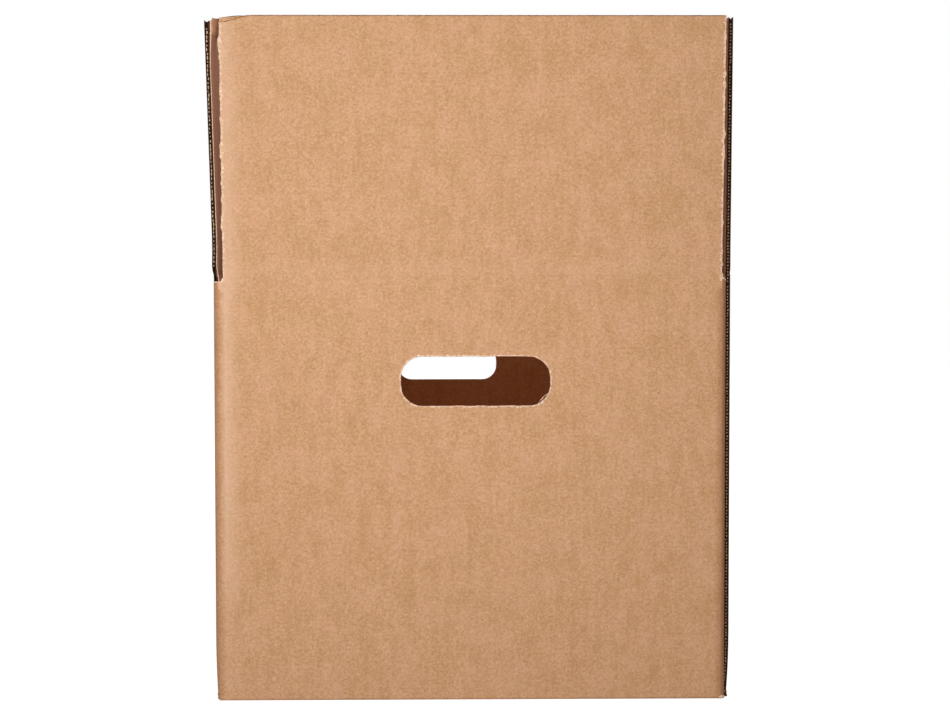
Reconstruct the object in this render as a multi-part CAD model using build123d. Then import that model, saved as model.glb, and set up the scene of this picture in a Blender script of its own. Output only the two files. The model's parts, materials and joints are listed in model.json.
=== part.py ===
from build123d import *
import os

# Shipping carton with hand holes: a regular slotted carton of single-wall corrugated board.
# Frame: millimetres, +Z up, origin on the ground under the middle of the base.
# The short front wall faces -Y, and the glued corner is at the front right.

# Carton
outer_width = 311.0  # X, over the left and right walls
outer_length = 387.0  # Y, over the front and back walls
score_height = 254.0  # fold line of the front and back flaps above the ground
flap_seam = 2.8  # between the left and right flaps when they are closed
minor_trim = 1.6  # how far the front and back flaps stop short of the side flaps' cut edge

# Board
board = 3.0  # thickness
liner = 0.35  # paper on each face
flute_pitch = 6.35  # length of one wave of the corrugated medium
flute_crest = 1.0  # width of a wave's top where it is glued to a liner
flute_web = 0.45  # medium between two neighbouring flutes, along the edge
flute_mouth_depth = 10.0  # how far a cut edge is open into the flutes

# Folds and slots
ground_fold_radius = 2.4  # outside of the folds that meet the ground
score_clearance = 0.15  # from the fold line to the board, on each side of it
slot_inset = 4.5  # from a wall's outer face to the side edge of the flap beside it
slot_depth = 1.5  # of a slot below the front fold line
slot_end_radius = 3.0
flap_layer_clearance = 0.3  # between closed front and side flaps

# Glued corner
joint_setback = 3.8  # cut edge of the right wall behind the front face
joint_trim = 1.4  # front flap's edge at the glued corner, behind its place at other slots
tab_width = 35.0
tab_top_gap = 6.0  # tab's root below the front fold line
tab_bottom_gap = 4.0  # tab's root above the bottom flaps
tab_taper = 8.0  # how much the tab's free edge is shorter at each end
edge_groove_depth = 2.0  # flute laid open along an upright cut edge

# Hand holes
hole_width = 90.0
hole_height = 30.0
hole_corner_radius = 12.0
hole_drop = 61.3  # centre of the hole below the front fold line
hole_offset = 1.6  # centre of the hole to the right of the wall's middle

# How far each flap leans outwards as it stands, in degrees
front_lean = 2.8
back_lean = 2.0
left_lean = 1.7
right_lean = 0.4

# Worked out from the values above
half_width = outer_width / 2
half_length = outer_length / 2
inner_width = outer_width - 2 * board
inner_length = outer_length - 2 * board
fold_radius = board  # outside of an upright fold, whose inside is crushed sharp
score_step = board + flap_layer_clearance
major_score = score_height + score_step
major_flap_length = (outer_width - flap_seam) / 2  # left and right flaps, from the fold line
minor_flap_length = major_flap_length + score_step - minor_trim  # front and back flaps
slot_floor = score_height - slot_depth
past = 2 * board  # how far a cutter runs past the board


def wall_section(height):
    """Everything inside the walls' plan, from the ground up to a height."""
    return extrude(Rectangle(inner_width, inner_length), amount=height)


def major_floor_flaps():
    """Plan of the outer bottom flaps, which meet along the middle of the base."""
    panel = Rectangle(major_flap_length, outer_length - 2 * slot_inset)
    reach = half_width - major_flap_length / 2
    return Pos(-reach, 0) * panel + Pos(reach, 0) * panel


def minor_floor_flaps():
    """Plan of the inner bottom flaps, which lie on the outer ones."""
    panel = Rectangle(outer_width - 2 * slot_inset, minor_flap_length)
    reach = half_length - minor_flap_length / 2
    return Pos(0, -reach) * panel + Pos(0, reach) * panel


def folded_tube():
    """Walls and closed bottom, folded from one sheet, before the top is cut."""
    block = extrude(RectangleRounded(outer_width, outer_length, fold_radius), amount=major_score)
    block = fillet(block.faces().sort_by(Axis.Z)[0].edges(), ground_fold_radius)
    inside = Pos(0, 0, 2 * board) * wall_section(major_score)
    outer_layer = wall_section(board) - extrude(major_floor_flaps(), amount=board)
    inner_layer = wall_section(board) - extrude(minor_floor_flaps(), amount=board)
    return block - inside - outer_layer - Pos(0, 0, board) * inner_layer


def bevel_cutter(span):
    """Board above a fold line, down a 45 degree bevel, in the flap frame: X along, Y inwards, Z up."""
    profile = Polyline(
        (-past, -score_clearance),
        (0, -score_clearance),
        (board, -score_clearance - board),
        (board, past),
        (-past, past),
        close=True,
    )
    return extrude(Plane.YZ * make_face(profile), amount=span / 2, both=True)


def slot_cutter():
    """Half of a slot in one wall, with its rounded end: X from the corner inwards, Y through the wall."""
    height = major_score + past - slot_floor
    outline = Pos((slot_inset - past) / 2, height / 2) * Rectangle(slot_inset + past, height)
    end = outline.vertices().sort_by(Axis.Y)[:2].sort_by(Axis.X)[-1]
    outline = fillet(end, slot_end_radius)
    cutter = extrude(Plane.XZ * outline, amount=board + past)
    return Pos(0, board, slot_floor) * cutter


def corner_slots():
    """Cutters for the slots: each slot is half in one wall and half in the next, round the fold."""
    front_left = Pos(-half_width, -half_length) * slot_cutter()
    left_front = Pos(-half_width, -half_length) * Rot(0, 0, 90) * mirror(slot_cutter(), Plane.XZ)
    back_left = mirror(front_left, Plane.XZ)
    left_back = mirror(left_front, Plane.XZ)
    # The right wall's front edge is one straight cut with its flap, so it has no slot there.
    mirrored = [mirror(cutter, Plane.YZ) for cutter in (front_left, back_left, left_back)]
    return [front_left, left_front, back_left, left_back] + mirrored


def place_flap(turn, distance, height):
    """Frame of a flap on its fold line: X along the wall, Y inwards, Z up."""
    return Rot(0, 0, turn) * Pos(0, -distance, height)


front_line = place_flap(0, half_length, score_height)
right_line = place_flap(90, half_width, major_score)
back_line = place_flap(180, half_length, score_height)
left_line = place_flap(270, half_width, major_score)


def edge_groove(length):
    """Flute laid open along an upright cut edge, in the middle of the board, from Z 0 up."""
    core = board - 2 * liner
    profile = Rectangle(2 * edge_groove_depth, core - flute_web)
    return extrude(profile, amount=length)


def glued_corner(tube):
    """Open the front right corner: the right wall ends in a cut edge outside the front wall's tab."""
    top = major_score + past
    fold_x = half_width - board - fold_radius
    fold_y = fold_radius - half_length
    cut_edge = joint_setback - half_length
    cut_width = half_width + past - fold_x
    cut_depth = joint_setback + past
    corner = Pos(fold_x + cut_width / 2, cut_edge - cut_depth / 2) * Rectangle(cut_width, cut_depth)
    fold = Pos(fold_x, fold_y) * Circle(fold_radius)
    tube = tube - extrude(corner - fold, amount=top)
    floor = 2 * board
    groove = Pos(half_width - board / 2, cut_edge, floor) * Rot(0, 0, 90) * edge_groove(top)
    root_low = floor + tab_bottom_gap
    root_high = score_height - tab_top_gap
    free_edge = fold_y + tab_width
    outline = Polyline(
        (fold_y, root_low),
        (free_edge, root_low + tab_taper),
        (free_edge, root_high - tab_taper),
        (fold_y, root_high),
        close=True,
    )
    tab = Pos(half_width - 2 * board) * extrude(Plane.YZ * make_face(outline), amount=board)
    return tube - groove + tab


def flute_mouth(centre, inwards, depth):
    """One open flute, Z into the board: wide at one liner, narrow at the other."""
    narrow = flute_crest / 2
    wide = flute_pitch / 2 - flute_crest / 2 - flute_web
    outer_half, inner_half = (narrow, wide) if inwards else (wide, narrow)
    outline = Polyline(
        (centre - outer_half, liner),
        (centre + outer_half, liner),
        (centre + inner_half, board - liner),
        (centre - inner_half, board - liner),
        close=True,
    )
    return extrude(make_face(outline), amount=depth)


def flute_row(middle, width, depth):
    """Open flutes side by side across a width, with every second one turned over."""
    count = int(2 * width / flute_pitch) - 1
    first = middle - (count - 1) * flute_pitch / 4
    return [flute_mouth(first + index * flute_pitch / 2, index % 2 == 1, depth) for index in range(count)]


def hand_holes():
    """One cutter through the front and back walls."""
    outline = RectangleRounded(hole_width, hole_height, hole_corner_radius)
    cutter = extrude(Plane.XZ * outline, amount=half_length + past, both=True)
    return Pos(hole_offset, 0, score_height - hole_drop) * cutter


def hand_hole_flutes():
    """Flutes that the hand holes lay open above and below, between the rounded corners."""
    reach = hole_height / 2 + flute_mouth_depth
    low = Pos(0, 0, -hole_drop - reach)
    width = hole_width - hole_corner_radius
    front = [front_line * low * mouth for mouth in flute_row(hole_offset, width, 2 * reach)]
    back = [back_line * low * mouth for mouth in flute_row(-hole_offset, width, 2 * reach)]
    return front + back


def carton_body():
    """Walls, glued corner, hand holes and closed bottom: one folded sheet."""
    body = glued_corner(folded_tube())
    body = body - hand_holes() - hand_hole_flutes()
    body = body - front_line * bevel_cutter(outer_width + past)
    body = body - back_line * bevel_cutter(outer_width + past)
    body = body - left_line * bevel_cutter(outer_length - 2 * board)
    body = body - right_line * bevel_cutter(outer_length - 2 * board)
    for slot in corner_slots():
        body = body - slot
    return body


def flap(start, end, length):
    """A flap upright in its own frame: X along the fold line from start to end, Y inwards, Z up."""
    profile = Polyline(
        (0, score_clearance),
        (board, score_clearance + board),
        (board, length),
        (0, length),
        close=True,
    )
    plate = Pos(start) * extrude(Plane.YZ * make_face(profile), amount=end - start)
    width = end - start - 2 * edge_groove_depth
    mouths = flute_row((start + end) / 2, width, flute_mouth_depth)
    cuts = [Pos(0, 0, length - flute_mouth_depth) * mouth for mouth in mouths]
    for edge in (start, end):
        cuts.append(Pos(edge, board / 2) * edge_groove(length))
    return plate - cuts


def minor_flap(trim):
    """Front or back flap, with a slot at each side, and cut back by a trim at its right."""
    reach = half_width - slot_inset
    return flap(-reach, reach - trim, minor_flap_length)


def left_major_flap():
    """Left flap, with a slot at each side."""
    reach = half_length - slot_inset
    return flap(-reach, reach, major_flap_length)


def right_major_flap():
    """Right flap, whose front edge is the same straight cut as the right wall's."""
    return flap(joint_setback - half_length, half_length - slot_inset, major_flap_length)


def lean(angle):
    """Turn a flap outwards on its fold line."""
    return Rot(angle, 0, 0)


nodes = {
    "carton_body": carton_body(),
    "front_flap": front_line * lean(front_lean) * minor_flap(joint_trim),
    "back_flap": back_line * lean(back_lean) * minor_flap(0),
    "left_flap": left_line * lean(left_lean) * left_major_flap(),
    "right_flap": right_line * lean(right_lean) * right_major_flap(),
}

os.makedirs("parts", exist_ok=True)
for name, solid in nodes.items():
    solid.label = name
    export_step(solid, f"parts/{name}.step")
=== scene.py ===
"""Shipping carton with hand holes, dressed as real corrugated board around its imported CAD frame.

The board is built as paper: an outer liner, a wavy medium and an inner liner, so that every cut edge
shows its layers. Sizes are in millimetres, and a mesh is scaled to metres when it is made.
"""
import json
import logging
import math
from collections.abc import Callable
from dataclasses import dataclass, field
from enum import Enum

import bmesh
import bpy
import numpy as np
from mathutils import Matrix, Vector


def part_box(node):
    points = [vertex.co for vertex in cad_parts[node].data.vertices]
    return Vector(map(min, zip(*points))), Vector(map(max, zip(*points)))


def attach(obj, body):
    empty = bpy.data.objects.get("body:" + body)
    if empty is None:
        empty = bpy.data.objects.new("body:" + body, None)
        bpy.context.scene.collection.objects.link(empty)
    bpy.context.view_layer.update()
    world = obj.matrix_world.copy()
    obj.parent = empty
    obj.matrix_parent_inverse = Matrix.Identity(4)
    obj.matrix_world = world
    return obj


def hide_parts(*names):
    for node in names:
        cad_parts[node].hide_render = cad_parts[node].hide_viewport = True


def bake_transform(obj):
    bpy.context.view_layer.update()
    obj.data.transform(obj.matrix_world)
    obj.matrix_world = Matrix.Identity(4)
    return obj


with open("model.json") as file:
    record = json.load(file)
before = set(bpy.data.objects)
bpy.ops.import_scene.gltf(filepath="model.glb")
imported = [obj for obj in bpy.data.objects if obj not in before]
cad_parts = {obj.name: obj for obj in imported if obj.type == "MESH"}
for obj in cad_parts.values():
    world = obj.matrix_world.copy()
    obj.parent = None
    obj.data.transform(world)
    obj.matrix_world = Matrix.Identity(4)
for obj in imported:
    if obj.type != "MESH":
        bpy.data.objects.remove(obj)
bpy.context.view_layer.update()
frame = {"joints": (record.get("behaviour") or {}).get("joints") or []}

MM = 0.001
IMAGE_WIDTH = 950
UV_NAME = "board"
WEAR_AND_LIGHT_NAME = "wear_and_light"
UPWARDS = np.array([0.0, 0.0, 1.0])
SHARP_DEGREES = 40  # edges of the paper that turn more than this stay sharp

Array = np.ndarray
Piece = bpy.types.Object
Tree = bpy.types.NodeTree
Socket = bpy.types.NodeSocket
# Puts places along and up the sheet, and depths below its outer face, on the carton.
Placer = Callable[[Array, Array, Array], Array]

log = logging.getLogger("carton")
logging.basicConfig(level=logging.INFO, format="%(name)s: %(message)s")


def hex_colour(code: str) -> tuple[float, float, float, float]:
    """Turn an sRGB hex value into linear colour.

    Args:
        code: six hex digits after a hash.

    Returns:
        Linear red, green, blue and an alpha of one.
    """
    values = []
    for place in (1, 3, 5):
        level = int(code[place:place + 2], 16) / 255
        values.append(level / 12.92 if level <= 0.04045 else ((level + 0.055) / 1.055) ** 2.4)
    return values[0], values[1], values[2], 1.0


def add_node(tree: Tree, kind: str, settings: dict, inputs: dict) -> bpy.types.Node:
    """Add a node with its settings and links.

    Args:
        tree: node tree that gets the node.
        kind: Blender's name of the node type.
        settings: properties of the node.
        inputs: values or output sockets by input name or place.

    Returns:
        The new node.
    """
    node = tree.nodes.new(kind)
    for name, value in settings.items():
        setattr(node, name, value)
    for name, value in inputs.items():
        if isinstance(value, Socket):
            tree.links.new(value, node.inputs[name])
        else:
            node.inputs[name].default_value = value
    return node


def smooth(value: Array) -> Array:
    """Ease from 0 to 1 over the range 0 to 1."""
    value = np.clip(value, 0, 1)
    return value * value * (3 - 2 * value)


@dataclass(frozen=True)
class Hump:
    """A rounded rise that fades over a width on both sides of its middle."""

    size: float
    middle: float
    width: float

    def at(self, value: Array) -> Array:
        """How high the rise is at some places."""
        return self.size * np.exp(-(((value - self.middle) / self.width) ** 2))


def ragged(count: int, spacing: float, grain: float, seed: int) -> Array:
    """Uneven values along an edge, such as torn paper has.

    Args:
        count: how many values.
        spacing: distance between two values, in millimetres.
        grain: size of a lump, in millimetres.
        seed: start of the random numbers.

    Returns:
        Values from about -1 to 1.
    """
    random = np.random.default_rng(seed)
    width = max(1, round(grain / spacing))
    noise = random.normal(size=count + 2 * width)
    kernel = np.hanning(2 * width + 1)
    kernel /= np.sqrt((kernel ** 2).sum())
    return np.clip(np.convolve(noise, kernel, mode="same")[width:width + count] / 2, -1, 1)


class Paper(Enum):
    """Which paper a face of the board is made of."""

    LINER = 0
    # The medium's dark paint is also painted shade on the liners' faces towards the flutes and on raw edges.
    MEDIUM = 1
    TORN = 2
    INNER = 3


@dataclass(frozen=True)
class Board:
    """Single-wall corrugated board."""

    thickness: float = 3.0
    liner: float = 0.35
    medium: float = 0.28
    pitch: float = 6.35

    @property
    def wave_step(self) -> float:
        """Distance between the points that draw the medium's wave."""
        return self.pitch / 10

    def wave(self, along: Array, crush: Array) -> Array:
        """Depth of the medium's middle below the outer face.

        Args:
            along: distance across the flutes.
            crush: height that is left of the flutes, from 0 to 1.

        Returns:
            Depths in millimetres.
        """
        height = (self.thickness - 2 * self.liner - self.medium) / 2
        return self.thickness / 2 + crush * height * np.sin(2 * np.pi * along / self.pitch)


BOARD = Board()


@dataclass(frozen=True)
class KraftLiner:
    """Unbleached kraft liner: long brown wood fibres, rolled flat, seen as a matt mottled sheet."""

    name: str = "kraft_liner"
    light: str = "#dfb086"
    dark: str = "#cb9869"
    rosy: str = "#dca581"
    dark_fibre: str = "#a06c46"
    dark_share: float = 0.32  # how strongly the dark fibres show
    dark_shift: float = 0.31  # offset of their noise, so that the two sets of fibres differ
    pale_fibre: str = "#f0cfac"
    pale_share: float = 0.3
    pale_shift: float = 1.73
    # Pale colour for worn paper and for painted highlights; the next one is the colour of painted shade.
    pale_wear_and_highlight: str = "#efc4a4"
    shade_colour: str = "#8e5433"
    roughness: float = 0.85
    specular: float = 0.25
    sheen: float = 0.0
    cloud_mm: float = 22.0
    streak_mm: float = 7.0  # across the upright streaks that the flutes leave in the sheet
    streak_shape: float = 0.3  # a streak's width as a share of its length
    grain_mm: float = 1.5  # drawn coarser than the real grain, so that it shows
    broad_share: float = 0.45  # strength of clouds and streaks beside the grain
    tone_low: float = 0.76  # level of the mixed mottle that is darkest
    tone_high: float = 1.14  # and the level that is lightest
    fibre_mm: float = 2.3  # distance between fibres, drawn far coarser than real ones, so that they show
    fibre_shape: float = 0.7  # fibres lie along the paper machine's direction, across the flutes
    fibre_levels: float = 0.04  # levels of the noise that half a fibre's width takes up
    washboard_mm: float = BOARD.pitch
    rib_share: float = 0.3  # height of the washboard's ribs beside the mottle's
    relief_mm: float = 0.06

    def fibres(self, tree: Tree, place: Socket, shift: float) -> Socket:
        """Draw thin curling fibres, where a noise passes its middle level.

        Args:
            tree: node tree of the material.
            place: place on the flat sheet.
            shift: offset of the noise, so that two sets of fibres differ.

        Returns:
            Socket that is 1 on a fibre and 0 beside it.
        """
        lie = {"Vector": place, "Location": (shift, shift, 0.0), "Scale": (self.fibre_shape, 1.0, 1.0)}
        curls = {
            "Vector": add_node(tree, "ShaderNodeMapping", {}, lie).outputs[0],
            "Scale": 1 / (self.fibre_mm * MM),
            "Detail": 2.5,
            "Roughness": 0.6,
            "Distortion": 0.7,
        }
        noise = add_node(tree, "ShaderNodeTexNoise", {"noise_dimensions": "2D"}, curls).outputs["Fac"]
        middle = add_node(tree, "ShaderNodeMath", {"operation": "SUBTRACT"}, {0: noise, 1: 0.5})
        distance = add_node(tree, "ShaderNodeMath", {"operation": "ABSOLUTE"}, {0: middle.outputs[0]})
        line = {"Value": distance.outputs[0], "From Max": self.fibre_levels, "To Min": 1.0, "To Max": 0.0}
        return add_node(tree, "ShaderNodeMapRange", {}, line).outputs["Result"]

    def mottle(self, tree: Tree, place: Socket) -> tuple[Socket, Socket]:
        """Mix clouds, streaks and grain.

        Args:
            tree: node tree of the material.
            place: place on the flat sheet.

        Returns:
            Sockets of the clouds alone, and of the whole tone from dark to light.
        """
        long = {"Vector": place, "Scale": (1.0, self.streak_shape, 1.0)}
        tall = add_node(tree, "ShaderNodeMapping", {}, long).outputs[0]
        levels = []
        for where, size in ((place, self.cloud_mm), (tall, self.streak_mm), (place, self.grain_mm)):
            spots = {"Vector": where, "Scale": 1 / (size * MM), "Detail": 2.0, "Roughness": 0.65}
            noise = add_node(tree, "ShaderNodeTexNoise", {"noise_dimensions": "2D"}, spots)
            levels.append(noise.outputs["Fac"])
        cloud, streak, grain = levels
        broad = add_node(tree, "ShaderNodeMath", {"operation": "ADD"}, {0: cloud, 1: streak}).outputs[0]
        parts = {0: broad, 1: self.broad_share, 2: grain}
        mixed = add_node(tree, "ShaderNodeMath", {"operation": "MULTIPLY_ADD"}, parts).outputs[0]
        span = {"Value": mixed, "From Min": self.tone_low, "From Max": self.tone_high}
        return cloud, add_node(tree, "ShaderNodeMapRange", {}, span).outputs["Result"]

    def material(self) -> bpy.types.Material:
        """Build the liner's nodes.

        Returns:
            The material.
        """
        made = bpy.data.materials.new(self.name)
        made.use_nodes = True
        tree = made.node_tree
        shader = tree.nodes["Principled BSDF"]
        place = add_node(tree, "ShaderNodeUVMap", {"uv_map": UV_NAME}, {}).outputs["UV"]
        cloud, tone = self.mottle(tree, place)
        dark_lines = self.fibres(tree, place, self.dark_shift)
        pale_lines = self.fibres(tree, place, self.pale_shift)
        # Wear and painted light at each point: above 0 it paints pale for wear and highlights, below 0 it
        # paints shade.
        wear_and_light = add_node(tree, "ShaderNodeAttribute", {"attribute_name": WEAR_AND_LIGHT_NAME}, {}).outputs["Fac"]
        press = add_node(tree, "ShaderNodeMapRange", {}, {"Value": wear_and_light, "From Max": -1.0}).outputs["Result"]
        rgb = {"data_type": "RGBA"}
        warm = {0: cloud, 6: hex_colour(self.light), 7: hex_colour(self.rosy)}
        hue = add_node(tree, "ShaderNodeMix", rgb, warm).outputs[2]
        shade = {0: tone, 6: hex_colour(self.dark), 7: hue}
        colour = add_node(tree, "ShaderNodeMix", rgb, shade).outputs[2]
        for amount, strength, code in (
            (dark_lines, self.dark_share, self.dark_fibre),
            (pale_lines, self.pale_share, self.pale_fibre),
            (wear_and_light, 1.0, self.pale_wear_and_highlight),
            (press, 1.0, self.shade_colour),
        ):
            held = {"operation": "MULTIPLY", "use_clamp": True}
            share = add_node(tree, "ShaderNodeMath", held, {0: amount, 1: strength}).outputs[0]
            painted = {0: share, 6: colour, 7: hex_colour(code)}
            colour = add_node(tree, "ShaderNodeMix", rgb, painted).outputs[2]
        # A wave texture repeats every 2 pi / 20 of its scaled length.
        bands = {"wave_type": "BANDS", "bands_direction": "X"}
        period = {"Vector": place, "Scale": 2 * math.pi / (20 * self.washboard_mm * MM)}
        ribs = add_node(tree, "ShaderNodeTexWave", bands, period).outputs["Fac"]
        ribbed = {0: ribs, 1: self.rib_share, 2: tone}
        relief = add_node(tree, "ShaderNodeMath", {"operation": "MULTIPLY_ADD"}, ribbed).outputs[0]
        sunk = {0: relief, 1: dark_lines}
        relief = add_node(tree, "ShaderNodeMath", {"operation": "SUBTRACT"}, sunk).outputs[0]
        height = {"Height": relief, "Strength": 1.0, "Distance": self.relief_mm * MM}
        bump = add_node(tree, "ShaderNodeBump", {}, height)
        tree.links.new(colour, shader.inputs["Base Color"])
        tree.links.new(bump.outputs["Normal"], shader.inputs["Normal"])
        shader.inputs["Roughness"].default_value = self.roughness
        shader.inputs["Specular IOR Level"].default_value = self.specular
        shader.inputs["Sheen Weight"].default_value = self.sheen
        return made


@dataclass(frozen=True)
class PlainPaper:
    """Paper with one grain: the fluting medium, or the fuzz of fibres where kraft is torn or cut."""

    name: str
    light: str
    dark: str
    grain_mm: float
    tone_low: float = 0.35  # level of the grain that is darkest
    tone_high: float = 0.65
    relief_mm: float = 0.1
    roughness: float = 0.9
    specular: float = 0.2

    def material(self) -> bpy.types.Material:
        """Build the paper's nodes.

        Returns:
            The material.
        """
        made = bpy.data.materials.new(self.name)
        made.use_nodes = True
        tree = made.node_tree
        shader = tree.nodes["Principled BSDF"]
        place = add_node(tree, "ShaderNodeTexCoord", {}, {}).outputs["Object"]
        spots = {"Vector": place, "Scale": 1 / (self.grain_mm * MM), "Detail": 3.0}
        grain = add_node(tree, "ShaderNodeTexNoise", {}, spots).outputs["Fac"]
        span = {"Value": grain, "From Min": self.tone_low, "From Max": self.tone_high}
        tone = add_node(tree, "ShaderNodeMapRange", {}, span).outputs["Result"]
        shade = {0: tone, 6: hex_colour(self.dark), 7: hex_colour(self.light)}
        colour = add_node(tree, "ShaderNodeMix", {"data_type": "RGBA"}, shade)
        height = {"Height": grain, "Strength": 0.6, "Distance": self.relief_mm * MM}
        bump = add_node(tree, "ShaderNodeBump", {}, height)
        tree.links.new(colour.outputs[2], shader.inputs["Base Color"])
        tree.links.new(bump.outputs["Normal"], shader.inputs["Normal"])
        shader.inputs["Roughness"].default_value = self.roughness
        shader.inputs["Specular IOR Level"].default_value = self.specular
        return made


# Inner liner: a copy of the kraft liner painted browner and darker, a painted shade for the carton's inside,
# seen where the flaps stand open.
INNER_LINER = KraftLiner(
    name="inner_kraft_liner_dark_shade",
    light="#dc9861",
    dark="#c67c3e",
    rosy="#d78c54",
    sheen=0.15,
)
# Semi-chemical fluting: short fibres, a little darker than the liner, and painted far darker as shade for the
# flutes' hollows.
FLUTING = PlainPaper("fluting_medium_dark_shade", "#5c3a22", "#3a2212", 1.4)
# Fibres that stand out of a cut or torn edge scatter the light and look paler than the sheet.
TORN_FIBRE = PlainPaper("torn_kraft_fibre", "#ffe0c4", "#dcab86", 0.9)


class PaperMesh:
    """Collects closed layers of paper and makes one mesh piece of them."""

    def __init__(self, name: str) -> None:
        """Start an empty piece.

        Args:
            name: of the piece.
        """
        self.name = name
        self.points: list[Array] = []
        self.places: list[Array] = []
        self.faces: list[Array] = []
        self.papers: list[Array] = []
        self.wear_and_light_values: list[Array] = []
        self.count = 0

    def layer(
        self,
        near: Array,
        far: Array,
        place: Array,
        paper: Paper,
        inside: Paper | None = None,
        wear_and_light: Array | None = None,
        rim: Paper | None = None,
    ) -> None:
        """Add a closed layer between two faces.

        Args:
            near: rows by columns by 3 points of one face.
            far: the same of the other face.
            place: rows by columns by 2 places on the flat sheet, for the grain.
            paper: what the layer is made of.
            inside: what its far face shows, if that differs.
            wear_and_light: how pale each point is painted, up to 1, for wear and painted highlights, and how
                dark, down to -1, for painted shade.
            rim: what its narrow sides show, if that differs.
        """
        rows, columns = near.shape[:2]
        size = rows * columns
        index = np.arange(size).reshape(rows, columns) + self.count
        front = np.stack([index[:-1, :-1], index[:-1, 1:], index[1:, 1:], index[1:, :-1]], -1).reshape(-1, 4)
        back = front[:, ::-1] + size
        ring = np.concatenate([index[0, :], index[1:, -1], index[-1, -2::-1], index[-2:0:-1, 0]])
        after = np.roll(ring, -1)
        side = np.stack([after, ring, ring + size, after + size], -1)
        faces = np.concatenate([front, back, side])
        self.points += [near.reshape(-1, 3), far.reshape(-1, 3)]
        self.places += [place.reshape(-1, 2), place.reshape(-1, 2)]
        self.faces.append(faces)
        papers = np.full(len(faces), paper.value)
        papers[len(front):2 * len(front)] = (inside or paper).value
        papers[2 * len(front):] = (rim or paper).value
        self.papers.append(papers)
        # Values of wear and of painted light and shade at each point.
        worn = np.zeros(size) if wear_and_light is None else np.broadcast_to(wear_and_light, (rows, columns)).ravel()
        self.wear_and_light_values += [worn, worn]
        self.count += 2 * size

    def make(self) -> Piece:
        """Make the mesh object, with its grain coordinates and papers.

        Returns:
            The piece.
        """
        points = np.concatenate(self.points) * MM
        places = np.concatenate(self.places) * MM
        faces = np.concatenate(self.faces)
        mesh = bpy.data.meshes.new(self.name)
        mesh.from_pydata(points.tolist(), [], faces.tolist())
        used = sorted(set(np.concatenate(self.papers).tolist()))
        for value in used:
            mesh.materials.append(PAPERS[Paper(value)])
        slots = np.searchsorted(used, np.concatenate(self.papers))
        mesh.polygons.foreach_set("material_index", slots.astype(np.int32))
        corners = np.zeros(len(mesh.loops), np.int32)
        mesh.loops.foreach_get("vertex_index", corners)
        grain = mesh.uv_layers.new(name=UV_NAME)
        grain.data.foreach_set("uv", places[corners].astype(np.float32).ravel())
        # Values of wear and of painted light and shade at each point.
        worn = mesh.attributes.new(WEAR_AND_LIGHT_NAME, "FLOAT", "POINT")
        worn.data.foreach_set("value", np.concatenate(self.wear_and_light_values).astype(np.float32))
        shell = bmesh.new()
        shell.from_mesh(mesh)
        bmesh.ops.recalc_face_normals(shell, faces=shell.faces)
        shell.to_mesh(mesh)
        shell.free()
        mesh.shade_smooth()
        mesh.set_sharp_from_angle(angle=math.radians(SHARP_DEGREES))
        piece = bpy.data.objects.new(self.name, mesh)
        bpy.context.scene.collection.objects.link(piece)
        log.info("%s: %d faces", self.name, len(faces))
        return piece


PAPERS: dict[Paper, bpy.types.Material] = {}


@dataclass(frozen=True)
class Fray:
    """How a cut looks along the edge of a liner: a pale lip of loose fibres with uneven sides."""

    back: float = 0.55  # reach of the lip on the sheet
    out: float = 0.3  # reach of the fibres past the cut
    tooth: float = 2.1  # pitch of the knife's teeth
    tooth_share: float = 0.5  # how much of the reach follows the teeth
    burr: float = 0.1  # how far the lip stands off the paper's faces
    wander: float = 0.0  # reach of the longest fibres
    spacing: float = 0.45
    loose_size: float = 0.6  # of the lumps along the fibres' ends
    back_size: float = 0.9  # of the lumps along the lip's back
    stray_size: float = 3.5  # of the groups of longest fibres
    cover: float = 0.015  # how far the lip's back lies over the paper
    skin: float = 0.12  # and how deep it goes into it

    def trim(
        self,
        made: PaperMesh,
        place: Placer,
        along: Array,
        up: Array,
        off: float,
        outer: bool,
        seed: int,
        paper: Paper = Paper.TORN,
    ) -> None:
        """Add the lip along a cut.

        Args:
            made: piece that gets the lip.
            place: puts the sheet on the carton.
            along: places of the cut across the sheet.
            up: places of the cut up the sheet.
            off: 1 if the board ends to the right of the line's direction, or -1 to its left.
            outer: whether the lip is on the outer liner.
            seed: start of the random numbers.
            paper: what the lip is made of.
        """
        run = np.concatenate([[0], np.cumsum(np.hypot(np.diff(along), np.diff(up)))])
        count = max(3, round(run[-1] / self.spacing))
        way = np.linspace(0, run[-1], count)
        along = np.interp(way, run, along)
        up = np.interp(way, run, up)
        heading = np.stack([np.gradient(along), np.gradient(up)])
        heading /= np.hypot(heading[0], heading[1])
        off_along = off * heading[1]
        off_up = -off * heading[0]
        step = way[1] - way[0]
        wave = 0.5 + 0.5 * np.sin(2 * np.pi * way / self.tooth + seed)
        loose = 0.5 + 0.5 * ragged(count, step, self.loose_size, seed)
        out = self.out * (self.tooth_share * wave + (1 - self.tooth_share) * loose)
        back = self.back * (0.6 + 0.6 * ragged(count, step, self.back_size, seed + 1))
        stray = self.wander * ragged(count, step, self.stray_size, seed + 2)
        reach = np.stack([-back, np.zeros(count), out + np.maximum(stray, 0)], -1)
        # The lip's back, its edge at the cut, and the ends of the fibres, which are thinner.
        near = np.array([-self.cover, -self.burr, 0.3 * BOARD.liner])
        far = np.array([self.skin, BOARD.liner + self.burr, 0.7 * BOARD.liner])
        if not outer:
            near = BOARD.thickness - near
            far = BOARD.thickness - far
        lip_along = along[:, None] + off_along[:, None] * reach
        lip_up = up[:, None] + off_up[:, None] * reach
        made.layer(
            place(lip_along, lip_up, near[None, :]),
            place(lip_along, lip_up, far[None, :]),
            np.stack([lip_along, lip_up], -1),
            paper,
        )


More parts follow.
